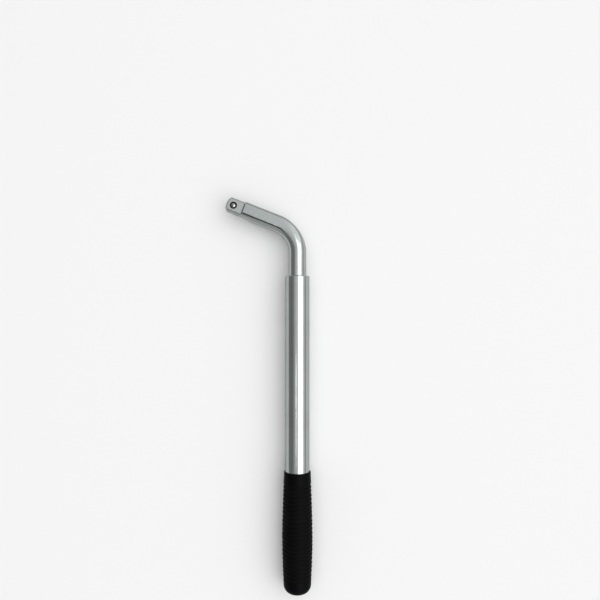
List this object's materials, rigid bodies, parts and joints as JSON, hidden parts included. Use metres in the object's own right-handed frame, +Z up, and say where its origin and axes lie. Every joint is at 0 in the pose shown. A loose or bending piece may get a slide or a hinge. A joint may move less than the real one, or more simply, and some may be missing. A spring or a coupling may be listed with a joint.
{
  "type": "telescopic breaker bar",
  "caption": "Chromed L-shaped wrench bar that slides and turns in a tube with a ribbed black rubber grip, ending in a male half inch square drive with a sprung retaining ball.",
  "frame": {"origin": "centre of the grip's butt end, on the handle's axis, with the tool closed", "axes": "+X along the handle from the butt to the head, +Y the side that the head's arm points to (the arm also rises 21.5 degrees towards +X), +Z up when the tool lies on its side; the drive's ball is on the +Z flat"},
  "size_m": [0.3579, 0.079, 0.0278],
  "materials": {
    "tube_chrome": "polished",
    "bar_chrome": "satin",
    "grip_rubber": "matte",
    "pad_rubber": "matte",
    "machined_steel": "turned",
    "plug_steel": "turned",
    "spring_steel": "drawn wire",
    "ball_steel": "polished",
    "screw_steel": "black oxide",
    "washer_brass": "satin"
  },
  "bodies": {
    "handle": {"outer_tube": "tube_chrome", "guide_sleeve": "machined_steel", "tube_end_plug": "plug_steel", "plug_roll_pin": "spring_steel", "buffer_pad": "pad_rubber", "grip_sleeve": "grip_rubber"},
    "piston": {"guide_piston": "machined_steel", "detent_spring": "spring_steel"},
    "bar": {"drive_bar": "bar_chrome", "shoulder_screw": "screw_steel", "thrust_washer": "washer_brass", "drive_ball_spring": "spring_steel"},
    "drive_ball": {"drive_ball": "ball_steel"},
    "detent_ball_upper": {"detent_ball_upper": "ball_steel"},
    "detent_ball_lower": {"detent_ball_lower": "ball_steel"}
  },
  "joints": [
    {"name": "bar_extension", "type": "slide", "parent": "handle", "child": "piston", "axis": [1, 0, 0], "range_m": [0, 0.17]},
    {"name": "bar_swivel", "type": "hinge", "parent": "piston", "child": "bar", "pos_m": [0.2, 0, 0], "axis": [1, 0, 0], "continuous": true},
    {"name": "drive_ball_press", "type": "slide", "parent": "bar", "child": "drive_ball", "axis": [0, 0, -1], "range_m": [0, 0.0009], "stiffness_N_per_m": 2000, "springref_m": -0.0015, "deforming": ["drive_ball_spring"]},
    {"name": "detent_ball_upper_pop", "type": "slide", "parent": "piston", "child": "detent_ball_upper", "axis": [0, 0, 1], "range_m": [0, 0.0005], "stiffness_N_per_m": 1000, "springref_m": 0.002, "deforming": ["detent_spring"]},
    {"name": "detent_ball_lower_pop", "type": "slide", "parent": "piston", "child": "detent_ball_lower", "axis": [0, 0, -1], "range_m": [0, 0.0005], "stiffness_N_per_m": 1000, "springref_m": 0.002, "deforming": ["detent_spring"]}
  ]
}
